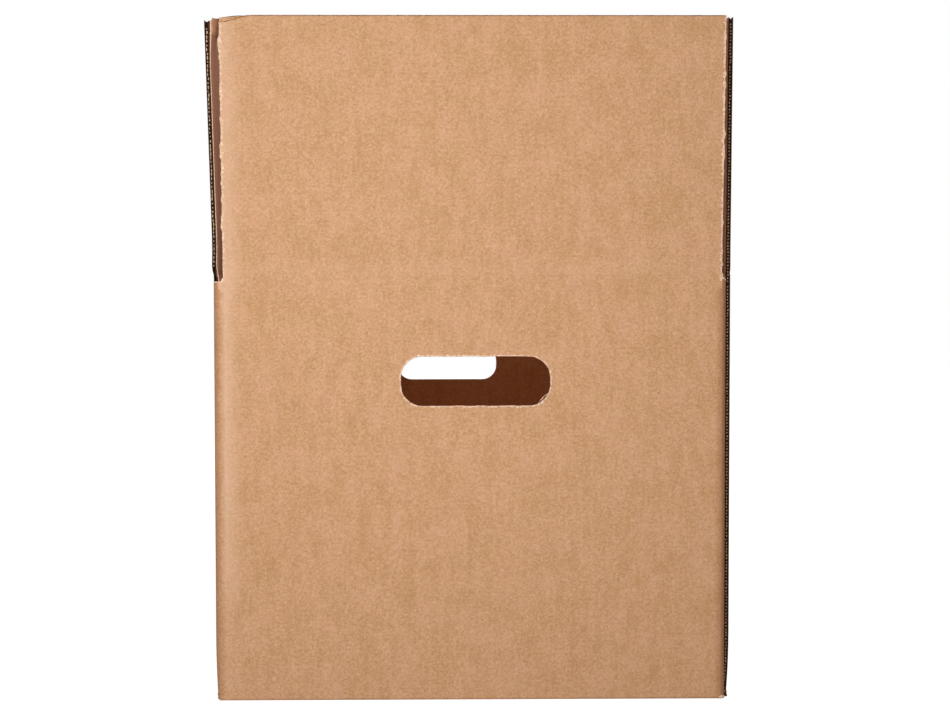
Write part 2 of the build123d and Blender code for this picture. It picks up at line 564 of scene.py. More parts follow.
@dataclass(frozen=True)
class Tufts:
    """Tufts of medium along a cut, one for each tooth of the knife."""

    pitch: float = 1.96
    width: float = 0.7  # across the board
    height: float = 0.95  # along the cut
    reach: float = 0.4  # out of the cut
    root: float = 1.6  # back to the medium
    uneven: float = 0.2  # how much their heights differ
    paper: Paper = Paper.LINER
    stray: float = 0.12  # how far a tuft is off its place in the row
    sink: float = 0.1  # and off the row's depth
    small: float = 0.75  # size of the smallest one
    large: float = 1.15
    rim: float = 0.15  # height of a tuft's rim as a share of its top

    def add(
        self,
        made: PaperMesh,
        place: Placer,
        along: float,
        span: tuple[float, float],
        depth: float,
        off: float,
        seed: int,
    ) -> None:
        """Add a row of tufts to an upright cut.

        Args:
            made: piece that gets the tufts.
            place: puts the sheet on the carton.
            along: place of the cut across the sheet.
            span: lower and upper end of the row.
            depth: of the row below the outer face.
            off: 1 if the board ends towards greater places across the sheet, or -1.
            seed: start of the random numbers.
        """
        random = np.random.default_rng(seed)
        count = int((span[1] - span[0]) / self.pitch)
        middle = span[0] + (np.arange(count) + 0.5) * self.pitch + random.normal(scale=self.stray, size=count)
        middle = middle[:, None, None]
        depth = depth + random.normal(scale=self.sink, size=(count, 1, 1))
        scale = random.uniform(self.small, self.large, size=(count, 1, 1))
        side = np.linspace(-1, 1, 4)
        square_x, square_y = np.meshgrid(side, side)
        disc_x = square_x * np.sqrt(1 - square_y ** 2 / 2)
        disc_y = square_y * np.sqrt(1 - square_x ** 2 / 2)
        dome = self.rim + (1 - self.rim) * np.sqrt(np.maximum(1 - disc_x ** 2 - disc_y ** 2, 0))
        tall = random.uniform(1 - self.uneven, 1 + self.uneven, size=(count, 1, 1))
        up = middle + tall * self.height / 2 * disc_y
        across = depth + scale * self.width / 2 * disc_x
        near = place(along + off * scale * self.reach * dome, up, across)
        far = place(along - off * self.root * dome, up, across)
        sheet = np.stack([np.full(up.shape, along), up], -1)
        for tuft in range(count):
            made.layer(near[tuft], far[tuft], sheet[tuft], self.paper)


@dataclass(frozen=True)
class CartonSizes:
    """Sizes of the carton, most of them read from the frame."""

    half_width: float
    half_length: float
    score: float
    major_score: float
    minor_length: float
    major_length: float
    fold_radius: float = 3.0
    ground_radius: float = 0.4
    slot_floor_drop: float = 1.5
    slot_inset: float = 4.5
    slot_radius: float = 3.0
    joint_setback: float = 3.8
    tab_width: float = 35.0
    tab_low: float = 10.0
    tab_taper: float = 8.0
    crease_reach: float = 6.0  # the flap's piece runs this far down the wall, past its fold line
    hole_width: float = 90.0
    hole_height: float = 30.0
    hole_radius: float = 13.0
    hole_drop: float = 61.3
    hole_offset: float = 1.6

    @classmethod
    def from_frame(cls) -> "CartonSizes":
        """Read the carton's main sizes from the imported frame.

        Returns:
            The sizes.
        """
        _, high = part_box("carton_body")
        heights = {}
        lengths = {}
        for joint in frame["joints"]:
            flap = joint["child"]
            lean = math.radians(joint["range_deg"][1] - 90)
            heights[flap] = joint["pos_m"][2] / MM
            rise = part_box(flap)[1].z / MM - heights[flap]
            lengths[flap] = (rise - BOARD.thickness * math.sin(lean)) / math.cos(lean)
        return cls(
            high.x / MM,
            high.y / MM,
            heights["front_flap"],
            heights["left_flap"],
            lengths["front_flap"],
            lengths["left_flap"],
        )

    @property
    def slot_floor(self) -> float:
        """Height of the bottom of the slots."""
        return self.score - self.slot_floor_drop

    @property
    def hole_height_middle(self) -> float:
        """Height of the middle of the hand holes."""
        return self.score - self.hole_drop


class WallPath:
    """Plan of the walls' outer face, from the glue tab's free edge round to the right wall's cut edge."""

    def __init__(self, sizes: CartonSizes) -> None:
        """Lay the straight runs and the folds end to end.

        Args:
            sizes: of the carton.
        """
        radius = sizes.fold_radius
        wide = sizes.half_width
        deep = sizes.half_length
        tab = wide - BOARD.thickness
        self.runs: list[tuple[float, str, tuple]] = []
        self.starts: list[float] = [0.0]
        self._straight((tab, -deep + radius + sizes.tab_width), (0, -1), sizes.tab_width)
        self._fold((tab - radius, -deep + radius), radius, 0)
        self.front = self.starts[-1]
        self._straight((tab - radius, -deep), (-1, 0), tab + wide - 2 * radius)
        self.front_end = self.starts[-1]
        self._fold((-wide + radius, -deep + radius), radius, -90)
        self.left = self.starts[-1]
        self._straight((-wide, -deep + radius), (0, 1), 2 * deep - 2 * radius)
        self.left_end = self.starts[-1]
        self._fold((-wide + radius, deep - radius), radius, -180)
        self.back = self.starts[-1]
        self._straight((-wide + radius, deep), (1, 0), 2 * wide - 2 * radius)
        self.back_end = self.starts[-1]
        self._fold((wide - radius, deep - radius), radius, -270)
        self.right = self.starts[-1]
        self._straight((wide, deep - radius), (0, -1), 2 * deep - radius - sizes.joint_setback)
        self.end = self.starts[-1]
        self.panels = (
            (self.front, self.front_end),
            (self.left, self.left_end),
            (self.back, self.back_end),
            (self.right, self.end),
        )

    def _straight(self, start: tuple, heading: tuple, length: float) -> None:
        """Add a straight run."""
        self.runs.append((length, "straight", (np.array(start), np.array(heading))))
        self.starts.append(self.starts[-1] + length)

    def _fold(self, centre: tuple, radius: float, degrees: float) -> None:
        """Add a quarter fold.

        Args:
            centre: of the fold in plan.
            radius: of its outer face.
            degrees: where the outer face starts.
        """
        length = radius * math.pi / 2
        self.runs.append((length, "fold", (np.array(centre), radius, math.radians(degrees))))
        self.starts.append(self.starts[-1] + length)

    def at(self, along: Array) -> tuple[Array, Array]:
        """Points and outward directions in plan.

        Args:
            along: distances along the path.

        Returns:
            Two arrays with a last axis of x and y.
        """
        points = np.zeros(along.shape + (2,))
        outwards = np.zeros(along.shape + (2,))
        last = len(self.runs) - 1
        for place, (length, kind, facts) in enumerate(self.runs):
            begin = self.starts[place]
            inside = ((along >= begin) | (place == 0)) & ((along < begin + length) | (place == last))
            way = along[inside] - begin
            if kind == "straight":
                start, heading = facts
                points[inside] = start + way[:, None] * heading
                outwards[inside] = (-heading[1], heading[0])
            else:
                centre, radius, first = facts
                angle = first - way / radius
                direction = np.stack([np.cos(angle), np.sin(angle)], -1)
                points[inside] = centre + radius * direction
                outwards[inside] = direction
        return points, outwards


def spaced(start: float, end: float, step: float) -> Array:
    """Even values from start to end, about a step apart."""
    return np.linspace(start, end, max(2, round(abs(end - start) / step) + 1))


@dataclass
class Walls:
    """Four walls and the glue tab, folded from one sheet of board."""

    sizes: CartonSizes
    path: WallPath = field(init=False)
    bow: float = 0.5  # how far a wall swells outwards at its middle
    tuck_height: float = 40.0  # the closed bottom pulls the side walls in, up to this height
    left_tuck: float = 1.2
    right_tuck: float = 1.6
    pale_strip_width: float = 15.0  # of the pale strip beside the front left fold, a painted highlight
    joint_ear: float = 2.5  # the slot beside the glued corner ends in a slanting cut
    held_width: float = 6.0  # beside the right wall's cut edge the medium runs half way between the liners
    recess: float = 1.4  # of the medium behind that cut edge
    bow_drop: float = 12.0  # the bow ends this far below the front fold line
    fold_highlight: float = 0.7  # how pale the painted highlight on the strip beside the front left fold is
    foot_highlight: float = 0.25  # and how much of that is left near the ground
    foot_height: float = 20.0
    highlight_rise: float = 90.0  # the highlight grows over this height
    fold_shade: float = 0.3  # how dark the painted shade on the front left fold itself is
    fold_front: float = 0.7  # and how far its shade runs on the front wall and the left wall
    fold_left: float = 0.5
    joint_shade: float = 0.55  # how dark the painted shade on the glued corner's fold is
    joint_edge: float = 1.8  # that shade ends this far on the front wall
    joint_fade: float = 2.6
    ground_shade: float = 0.4  # how dark the painted shade along the lowest edge is, where the wall meets the floor
    ground_height: float = 1.4
    panel_edge: float = 0.02  # columns this close to a fold belong to the slot above it
    fold_shares: tuple[float, ...] = (0, 0.08, 0.16, 0.84, 0.92, 1)  # columns round a fold
    fold_gap: float = 0.04  # a column stands this close beside each fold, so that the slot's end is steep
    # Rows of the medium, more of them near the ground, where the walls tuck in.
    flute_shares: tuple[float, ...] = (0, 0.04, 0.08, 0.12, 0.16, 0.36, 0.57, 0.78, 1)
    edge_row: float = 1.2  # a row this close to the lower edge keeps the shade there narrow
    arc_steps: int = 12  # of a rounded corner
    ground_steps: int = 6  # of the fold at the ground
    flake_turn: tuple[float, float] = (205, 243)  # degrees round the hand hole's torn corner
    flake_depth: float = 1.5
    tuft_low: float = 3.0  # the tufts in the right wall's cut edge start here
    step: float = 4.0
    row_step: float = 8.0

    def __post_init__(self) -> None:
        """Lay out the plan."""
        self.path = WallPath(self.sizes)

    def swell(self, along: Array, height: Array) -> Array:
        """How far the paper stands out of the flat wall.

        Args:
            along: distance along the plan.
            height: above the ground.

        Returns:
            Distances in millimetres, less than 0 where the wall is pulled in.
        """
        path = self.path
        rise = np.sin(np.pi * np.clip(height / (self.sizes.score - self.bow_drop), 0, 1)) ** 2
        out = np.zeros_like(along)
        for start, end in path.panels:
            share = np.clip((along - start) / (end - start), 0, 1)
            out += self.bow * np.sin(np.pi * share) ** 2
        low = np.clip(1 - height / self.tuck_height, 0, 1) ** 2
        radius = self.sizes.fold_radius
        on_left = smooth((along - path.front_end) / radius) * smooth((path.back - along) / radius)
        on_right = smooth((along - path.back_end) / radius)
        return out * rise - low * (self.left_tuck * on_left + self.right_tuck * on_right)

    def wear_and_light(self, along: Array, height: Array) -> Array:
        """Painted light on the outer liner: a painted highlight beside the front left fold, and painted shade
        in the folds and at the ground.

        Args:
            along: distance along the plan.
            height: above the ground.

        Returns:
            Values up to 1 for pale and down to -1 for dark.
        """
        path = self.path
        # Painted highlight beside the front left fold, painted shade on that fold, at the glued corner's fold
        # and along the ground.
        beside = smooth(1 - (path.front_end - along) / self.pale_strip_width) * (along <= path.front_end)
        joint = smooth((path.front + self.joint_edge - along) / self.joint_fade)
        joint = joint * (along > path.front - 2 * self.sizes.fold_radius)
        fold = (along > path.front_end - self.fold_front) & (along < path.left + self.fold_left)
        grown = self.foot_highlight + (1 - self.foot_highlight) * smooth((height - self.foot_height) / self.highlight_rise)
        pale = self.fold_highlight * beside * grown
        ground = smooth(1 - height / self.ground_height)
        dark = self.joint_shade * joint
        return np.where(fold, -self.fold_shade, pale - dark - self.ground_shade * ground)

    def place(self, along: Array, height: Array, depth: Array, turned_in: bool) -> Array:
        """Put points of the sheet where they are on the carton.

        Args:
            along: distance along the plan.
            height: above the ground, or below the ground fold's start along its arc.
            depth: below the outer face.
            turned_in: whether the sheet follows the rounded fold at the ground.

        Returns:
            Points with a last axis of x, y and z.
        """
        along, height, depth = np.broadcast_arrays(along, height, depth)
        points, outwards = self.path.at(along)
        radius = self.sizes.ground_radius
        inwards = depth.copy()
        level = height.copy()
        if turned_in:
            below = np.clip((radius - height) / radius, 0, math.pi / 2)
            fold = height < radius
            inwards = np.where(fold, radius - (radius - depth) * np.cos(below), depth)
            level = np.where(fold, radius - (radius - depth) * np.sin(below), height)
        out = self.swell(along, level) - inwards
        flat = points + out[..., None] * outwards
        return np.concatenate([flat, level[..., None]], -1)

    def top(self, along: Array) -> Array:
        """Height at which the wall's piece ends: at the flap's piece, or at the bottom of a slot.

        Args:
            along: distance along the plan.

        Returns:
            Heights above the ground.
        """
        sizes = self.sizes
        path = self.path
        edge = self.panel_edge
        top = np.full(along.shape, sizes.slot_floor)
        for (start, end), score in zip(path.panels, 2 * (sizes.score, sizes.major_score)):
            # The right wall ends in a cut, with no slot beside it.
            inside = (along > start + edge) & ((along < end - edge) | (end == path.end))
            top = np.where(inside, score - sizes.crease_reach, top)
        joint = np.clip(1 - (path.front - along) / (sizes.fold_radius * math.pi / 2), 0, 1)
        return np.where(along <= path.front + edge, sizes.slot_floor + self.joint_ear * joint, top)

    def hole_spans(self) -> list[tuple[float, float]]:
        """Where the two hand holes are along the plan.

        Returns:
            Start and end of the front one and of the back one.
        """
        sizes = self.sizes
        path = self.path
        half = sizes.hole_width / 2
        front_x = sizes.half_width - BOARD.thickness - sizes.fold_radius
        front = path.front + front_x - sizes.hole_offset
        back = path.back + sizes.half_width - sizes.fold_radius + sizes.hole_offset
        return [(front - half, front + half), (back - half, back + half)]

    def hole_half_height(self, from_middle: Array) -> Array:
        """Half the hand hole's height.

        Args:
            from_middle: distance from the hole's middle.

        Returns:
            Half heights in millimetres.
        """
        sizes = self.sizes
        straight = sizes.hole_width / 2 - sizes.hole_radius
        into = np.clip(np.abs(from_middle) - straight, 0, sizes.hole_radius)
        arc = np.sqrt(np.maximum(sizes.hole_radius ** 2 - into ** 2, 0))
        return sizes.hole_height / 2 - sizes.hole_radius + arc

    def columns(self, start: float, end: float, step: float) -> Array:
        """Places of columns between two places, with the folds finely divided.

        Args:
            start: first place along the plan.
            end: last place.
            step: distance between columns.

        Returns:
            The places in order.
        """
        folds = [place for panel in self.path.panels for place in panel]
        marks = [start] + [place for place in folds if start < place < end] + [end]
        columns = []
        for low, high in zip(marks, marks[1:]):
            if high - low < 2 * self.sizes.fold_radius and step > 1:
                # A crushed fold shows one flat face between two narrow bends.
                columns.append(low + (high - low) * np.array(self.fold_shares))
            else:
                columns.append(spaced(low, high, step))
                columns.append(np.array([low + self.fold_gap, high - self.fold_gap]))
        return np.unique(np.concatenate(columns))

    def patches(self, low: float, step: float) -> list[tuple[Array, Array, Array]]:
        """Parts of the wall that leave the hand holes open.

        Args:
            low: height of the wall's lower edge.
            step: distance between columns.

        Returns:
            Columns with the heights of their lower and upper ends, for each part.
        """
        middle = self.sizes.hole_height_middle
        parts = []
        start = self.path.front - self.sizes.fold_radius * math.pi / 2
        for hole_start, hole_end in self.hole_spans():
            columns = self.columns(start, hole_start, step)
            parts.append((columns, np.full(columns.shape, low), self.top(columns)))
            centre = (hole_start + hole_end) / 2
            half = (hole_end - hole_start) / 2
            turn = np.linspace(0, np.pi / 2, self.arc_steps + 1)
            radius = self.sizes.hole_radius
            ends = half - radius * (1 - np.cos(turn))
            flat = spaced(-half + radius, half - radius, min(step, self.step))
            across = np.unique(np.round(np.concatenate([-ends, flat, ends]), 6))
            if step < 2:
                # The medium's wave needs even steps over the rounded ends too.
                across = np.unique(np.round(np.concatenate([across, spaced(-half, half, step)]), 6))
            opening = self.hole_half_height(across)
            columns = centre + across
            parts.append((columns, np.full(columns.shape, low), middle - opening))
            parts.append((columns, middle + opening, self.top(columns)))
            start = hole_end
        columns = self.columns(start, self.path.end, step)
        parts.append((columns, np.full(columns.shape, low), self.top(columns)))
        return parts

    def tab_patch(self, step: float) -> tuple[Array, Array, Array]:
        """The glue tab, whose ends taper towards its free edge.

        Args:
            step: distance between columns.

        Returns:
            Columns with the heights of their lower and upper ends.
        """
        sizes = self.sizes
        columns = spaced(0, sizes.tab_width, step)
        taper = sizes.tab_taper * (1 - columns / sizes.tab_width)
        return columns, sizes.tab_low + taper, sizes.score - sizes.crease_reach - taper

    def rows(self, low: Array, high: Array, turned_in: bool) -> Array:
        """Heights of a part's rows.

        Args:
            low: heights of its columns' lower ends.
            high: heights of their upper ends.
            turned_in: whether the sheet follows the rounded fold at the ground.

        Returns:
            Rows by columns of heights.
        """
        radius = self.sizes.ground_radius
        tall = float(np.max(high - low))
        share = np.linspace(0, 1, max(2, round(tall / self.row_step) + 1))
        share = np.insert(share, 1, self.edge_row / tall)[:, None]
        heights = low + share * (high - low)
        if turned_in and float(low.min()) <= radius + 1e-6:
            arc = np.linspace(radius - radius * math.pi / 2, radius, self.ground_steps + 1)[:-1]
            heights = np.concatenate([np.repeat(arc[:, None], heights.shape[1], 1), heights])
        return heights

    def liners(self) -> Piece:
        """Outer and inner liner of the walls and the tab.

        Returns:
            The piece.
        """
        made = PaperMesh("wall_liners")
        thick = BOARD.thickness
        for start, depths, turned_in, paper in (
            (self.sizes.ground_radius, (0.0, BOARD.liner), True, Paper.LINER),
            (thick, (thick, thick - BOARD.liner), False, Paper.INNER),
        ):
            for columns, low, high in self.patches(start, self.step) + [self.tab_patch(self.step)]:
                heights = self.rows(low, high, turned_in)
                near = self.place(columns[None, :], heights, np.array(depths[0]), turned_in)
                far = self.place(columns[None, :], heights, np.array(depths[1]), turned_in)
                along = np.broadcast_to(columns[None, :], heights.shape)
                wear_and_light = self.wear_and_light(along, heights) if turned_in else None
                # The faces towards the flutes and the narrow sides take the medium's dark paint as painted
                # shade.
                made.layer(near, far, np.stack([along, heights], -1), paper, Paper.MEDIUM, wear_and_light, Paper.MEDIUM)
        return made.make()

    def flutes(self) -> Piece:
        """The wavy medium between the walls' liners.

        Returns:
            The piece.
        """
        made = PaperMesh("wall_flutes")
        step = BOARD.wave_step
        half = BOARD.medium / 2
        for columns, low, high in self.patches(BOARD.thickness, step) + [self.tab_patch(step)]:
            columns = np.minimum(columns, self.path.end - self.recess)
            heights = low + np.array(self.flute_shares)[:, None] * (high - low)
            hold = smooth(1 - (self.path.end - columns) / self.held_width)
            depth = BOARD.wave(columns, 1 - hold)[None, :]
            near = self.place(columns[None, :], heights, depth - half, False)
            far = self.place(columns[None, :], heights, depth + half, False)
            along = np.broadcast_to(columns[None, :], heights.shape)
            made.layer(near, far, np.stack([along, heights], -1), Paper.MEDIUM)
        return made.make()

    def flat(self, along: Array, height: Array, depth: Array) -> Array:
        """Put points of the sheet in place, without the fold at the ground."""
        return self.place(along, height, depth, False)

    def hole_outline(self, centre: float) -> tuple[Array, Array]:
        """Outline of a hand hole, once round.

        Args:
            centre: place of the hole's middle along the plan.

        Returns:
            Places along the plan and heights.
        """
        sizes = self.sizes
        wide = sizes.hole_width / 2 - sizes.hole_radius
        high = sizes.hole_height / 2 - sizes.hole_radius
        turn = np.linspace(0, np.pi / 2, 2 * self.arc_steps + 1)
        along = []
        height = []
        for quarter, (side, level) in enumerate(((1, 1), (-1, 1), (-1, -1), (1, -1))):
            angle = turn + quarter * np.pi / 2
            along.append(centre + side * wide + sizes.hole_radius * np.cos(angle))
            height.append(sizes.hole_height_middle + level * high + sizes.hole_radius * np.sin(angle))
        along = np.concatenate(along)
        height = np.concatenate(height)
        return np.append(along, along[0]), np.append(height, height[0])

    def cut_edges(self) -> Piece:
        """Frayed paper round the hand holes, at the slots, along the tab and at the glued corner.

        Returns:
            The piece.
        """
        made = PaperMesh("wall_cut_edges")
        path = self.path
        sizes = self.sizes
        rims = (
            Fray(back=1.1, out=0.35, tooth=1.4, tooth_share=0.6, burr=0.14, wander=0.2, spacing=0.35),
            Fray(back=0.5, out=0.2, burr=0.05),
        )
        seed = 1
        for rim, (hole_start, hole_end) in zip(rims, self.hole_spans()):
            along, height = self.hole_outline((hole_start + hole_end) / 2)
            rim.trim(made, self.flat, along, height, -1, True, seed)
            seed += 10
        self.hole_flake(made, seed)
        self.foot_flake(made)
        slot = Fray(back=1.0, out=0.6, burr=0.12, wander=0.6)
        arc = sizes.fold_radius * math.pi / 2
        for begin in (path.front - arc, path.front_end, path.left_end, path.back_end):
            along = np.linspace(begin, begin + arc, self.arc_steps)
            for outer in (True, False):
                slot.trim(made, self.flat, along, self.top(along), -1, outer, seed)
                seed += 10
        span = (self.tuft_low, sizes.major_score - sizes.crease_reach)
        Tufts().add(made, self.flat, path.end, span, BOARD.thickness / 2, 1, seed)
        columns, low, high = self.tab_patch(self.step / 2)
        tab = Fray(back=0.4, out=0.2, spacing=0.9)
        for outer in (True, False):
            tab.trim(made, self.flat, np.zeros(2), np.array([low[0], high[0]]), -1, outer, seed)
            tab.trim(made, self.flat, columns, high, -1, outer, seed + 3)
            seed += 10
        return made.make()

    def hole_flake(self, made: PaperMesh, seed: int) -> None:
        """Add the torn lip at the lower right corner of the front hand hole.

        Args:
            made: piece that gets the lip.
            seed: start of the random numbers.
        """
        sizes = self.sizes
        radius = sizes.hole_radius
        turn = np.radians(np.linspace(*self.flake_turn, self.arc_steps))
        torn = radius - self.flake_depth * np.sin(np.linspace(0, np.pi, self.arc_steps)) ** 0.6
        along = self.hole_spans()[0][0] + radius + torn * np.cos(turn)
        height = sizes.hole_height_middle - sizes.hole_height / 2 + radius + torn * np.sin(turn)
        Fray(back=0.35, out=0.25, burr=0.1).trim(made, self.flat, along, height, -1, True, seed)

    def foot_flake(self, made: PaperMesh) -> None:
        """Add the flake of outer liner that hangs loose at the foot of the glued corner.

        Args:
            made: piece that gets the flake.
        """
        low = 0.1  # above the ground
        high = 2.2
        sides = self.path.front + np.linspace(-3.2, 0.8, 8)
        peak = self.path.front - 1.2
        slope = 0.35  # of its torn edge, down from the peak
        stand = np.array(-0.35)  # it hangs this far off the wall's face
        paper = 0.3  # its thickness
        along, up = np.meshgrid(sides, np.linspace(low, high, 6))
        up = np.maximum(up - slope * np.abs(along - peak), low)
        grain = np.stack([along, up], -1)
        near = self.flat(along, up, stand)
        made.layer(near, self.flat(along, up, stand + paper), grain, Paper.TORN)

    def build(self) -> list[Piece]:
        """Make the walls' pieces and put them in place of the CAD body.

        Returns:
            The pieces.
        """
        pieces = [self.liners(), self.flutes(), self.cut_edges()]
        for piece in pieces:
            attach(piece, "carton")
            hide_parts("carton_body")
        return pieces


class Side(Enum):
    """Sides of the carton."""

    FRONT = "front"
    BACK = "back"
    LEFT = "left"
    RIGHT = "right"


@dataclass
class Flap:
    """A top flap with its crease, which bends between the wall and the flap."""

    sizes: CartonSizes
    path: WallPath
    side: Side
    crease_soft: float = 3.0  # the board turns over this far on both sides of the fold line
    joint_gap: float = 0.2  # from the fold of the glued corner to the front flap's edge
    slant: float = 0.5  # the front flap's left edge goes outwards by this up to its top
    slot_trim: float = 1.6  # and it is cut this much further in than at the other slots
    split: float = 3.8  # how far the left flap's inner liner bulges off behind its knocked front corner
    crush_outer: float = 4.0  # a crushed corner: how far its outer liner is pushed down
    crush_inner: float = 1.0
    side_crush: float = 1.3  # how far the left flap's front corner is pushed down
    side_crush_width: float = 14.0
    crush_width: float = 19.0
    inner_share: float = 0.6  # how far the crush reaches in the inner layers, as a share of that
    crush_height: float = 14.0
    turn_reach: float = 2.0  # the board's faces turn into the lean this near to the fold line
    shift: float = 0.5  # how far the left flap stands out beside its wall
    shift_reach: float = 4.0
    bead: Hump = Hump(0.5, 6.0, 7.0)  # the left flap's fold stands out besides
    knock_start: float = 3.0  # the knock on the left flap begins this far before its front edge
    knock_rise: float = 8.0
    knock_end: float = 28.0
    knock_fade: float = 20.0
    knock_height: float = 30.0
    knock_shade: float = 0.8  # how dark the painted shade on its inner face is there
    ply: float = 0.25  # thickness of paper that has split off
    furrow: Hump = Hump(1.0, 0.0, 2.2)  # how strongly the score presses the board at the fold line
    score_depth: float = 1.1  # how far it presses the inner liner into the board
    score_end: float = 6.0  # it fades over this width towards the right flap's edges
    groove: Hump = Hump(0.18, 0.0, 1.1)  # how far the outer liner sinks at the fold line
    ridge: Hump = Hump(0.06, 4.5, 2.5)  # and how far it rises above it
    crease_highlight: Hump = Hump(0.1, 5.0, 4.0)  # how pale the painted highlight makes the liner there
    top_darkening: float = 0.5  # how dark the front flap's top edge is
    cut_height: float = 1.1
    slot_rub: float = 0.5  # how pale it is beside the left slot
    pale_strip_width: float = 15.0
    inner_shade_width: float = 60.0  # of the painted shade on the side flaps' inner faces
    tuft_drop: float = 3.0  # tufts end this far below the top of a raw edge
    left_tuft_depth: float = 1.15  # of the left flap's tufts below the outer face
    left_tuft_start: float = 4.0  # they begin this far above the fold line
    recess: float = 1.4  # of the medium behind a raw cut edge
    held_width: float = 5.0  # beside the cut edges the medium runs flat
    held_depth: float = 0.3  # and this much deeper
    flute_press: float = 0.6  # how much of the flutes' height the score takes
    flute_lift: float = 0.45  # and how far it pushes them outwards
    fold_rows: int = 33
    row_step: float = 8.0
    edge_row: float = 1.2  # a row this close to the cut keeps the wear there narrow
    step: float = 4.0

    def __post_init__(self) -> None:
        """Find the flap's fold line, lean and reach."""
        sizes = self.sizes
        path = self.path
        joint = next(j for j in frame["joints"] if j["child"] == self.body)
        self.lean = math.radians(joint["range_deg"][1] - 90)
        self.score = joint["pos_m"][2] / MM
        self.length = sizes.major_length if self.side in (Side.LEFT, Side.RIGHT) else sizes.minor_length
        run = {Side.FRONT: 2, Side.LEFT: 4, Side.BACK: 6, Side.RIGHT: 8}[self.side]
        start, heading = path.runs[run][2]
        self.begin = path.starts[run]
        self.finish = path.starts[run + 1]
        self.origin = np.array([start[0], start[1], self.score])
        self.heading = np.array([heading[0], heading[1], 0.0])
        self.outwards = np.array([-heading[1], heading[0], 0.0])
        first_gap = sizes.slot_inset - sizes.fold_radius
        last_gap = first_gap
        self.raw_first = self.side is Side.LEFT
        self.raw_last = self.side is Side.RIGHT
        # The cut edges are worn: how much is gone at the first and the last corner.
        self.worn = {Side.FRONT: (0.9, 0.35), Side.BACK: (0.3, 0.3)}.get(self.side, (0.9, 0.9))
        # Painted shade: the side flaps' inner faces are darkened towards their front edges, the right one's
        # more.
        self.inner_shade = {Side.LEFT: -0.15, Side.RIGHT: -0.7}.get(self.side, 0.0)
        if self.side is Side.FRONT:
            first_gap = self.joint_gap
            last_gap += self.slot_trim
        if self.side is Side.RIGHT:
            last_gap = 0.0
        self.first = self.begin + first_gap
        self.last = self.finish - last_gap

    @property
    def body(self) -> str:
        """Name of the flap's body and node."""
        return f"{self.side.value}_flap"

    def place(self, along: Array, up: Array, depth: Array) -> Array:
        """Put points of the flap's sheet in place.

        Args:
            along: distance along the walls' plan.
            up: distance above the fold line on the sheet.
            depth: below the outer face.

        Returns:
            Points with a last axis of x, y and z.
        """
        along, up, depth = np.broadcast_arrays(along, up, depth)
        share = np.clip((along - self.begin) / (self.finish - self.begin), 0, 1)
        worn = self.worn[0] + (self.worn[1] - self.worn[0]) * share
        if self.side is Side.LEFT:
            depth = depth + self.split * self.knock(along, up) * (depth / BOARD.thickness) ** 2
        up = up - worn * np.clip(up / self.length, 0, 1)
        angle = self.lean * smooth((up + self.turn_reach) / (2 * self.turn_reach))
        rise = np.where(up > 0, np.cos(self.lean) * up, up)
        out = np.where(up > 0, np.sin(self.lean) * up, 0) - depth * np.cos(angle)
        rise = rise + depth * np.sin(angle)
        if self.side is Side.LEFT:
            # The left flap's fold stands out in a bead.
            out = out + self.shift * smooth((up + self.shift_reach) / (2 * self.shift_reach))
            out = out + self.bead.at(up)
        base = self.origin + (along - self.begin)[..., None] * self.heading
        return base + out[..., None] * self.outwards + rise[..., None] * UPWARDS

    def knock(self, along: Array, up: Array) -> Array:
        """How strongly a place is hit by the knock on the left flap's front corner.

        Args:
            along: places across the sheet.
            up: places up the sheet.

        Returns:
            Values from 0 to 1.
        """
        gap = along - self.first
        hit = smooth((gap + self.knock_start) / self.knock_rise)
        hit = hit * smooth((self.knock_end - gap) / self.knock_fade)
        return hit * smooth(1 - (self.length - up) / self.knock_height)

    def edge(self, up: Array, last: bool) -> Array:
        """Place of the flap's side edge, which flares into the rounded end of the slot.

        Args:
            up: places up the sheet.
            last: whether it is the edge further along the plan.

        Returns:
            Places across the sheet.
        """
        low = self.sizes.slot_floor - self.score
        radius = self.sizes.slot_radius
        above = np.clip((low + radius - up) / radius, 0, 1)
        flare = 1 - np.sqrt(np.maximum(1 - above ** 2, 0))
        straight, root = (self.last, self.finish) if last else (self.first, self.begin)
        if last and self.side is Side.FRONT:
            straight = straight + self.slant * np.clip(up / self.length, 0, 1)
        return straight + flare * (root - straight)

    def up_rows(self) -> Array:
        """Rows of the flap's sheet, finest at the fold.

        Returns:
            Places up the sheet.
        """
        reach = self.sizes.crease_reach
        fold = np.linspace(-reach, reach, self.fold_rows)
        upper = spaced(reach, self.length, self.row_step)[1:]
        return np.concatenate([fold, upper[:-1], [self.length - self.edge_row, self.length]])

    def grid(self, step: float) -> tuple[Array, Array]:
        """Rows and columns over the flap, between its two side edges.

        Args:
            step: distance between columns.

        Returns:
            Places across the sheet and up the sheet.
        """
        up = self.up_rows()[:, None]
        share = spaced(0, self.last - self.first, step)[None, :] / (self.last - self.first)
        first = self.edge(up, False)
        last = self.edge(up, True)
        return first + share * (last - first), np.broadcast_to(up, (up.shape[0], share.shape[1]))

    def crush(self, along: Array, up: Array, outer: bool) -> Array:
        """Places up the sheet after the corner at the front left is pushed down.

        Args:
            along: places across the sheet.
            up: places up the sheet.
            outer: whether they are on the outer liner, which goes down further.

        Returns:
            The new places up the sheet.
        """
        if self.side is Side.FRONT:
            gap = self.edge(up, True) - along
            drop = self.crush_outer if outer else self.crush_inner
            width = self.crush_width if outer else self.inner_share * self.crush_width
        elif self.side is Side.LEFT:
            gap = along - self.edge(up, False)
            drop = self.side_crush
            width = self.side_crush_width
        else:
            return up
        near_top = smooth(1 - (self.length - up) / self.crush_height)
        return up - drop * smooth(1 - gap / width) * near_top

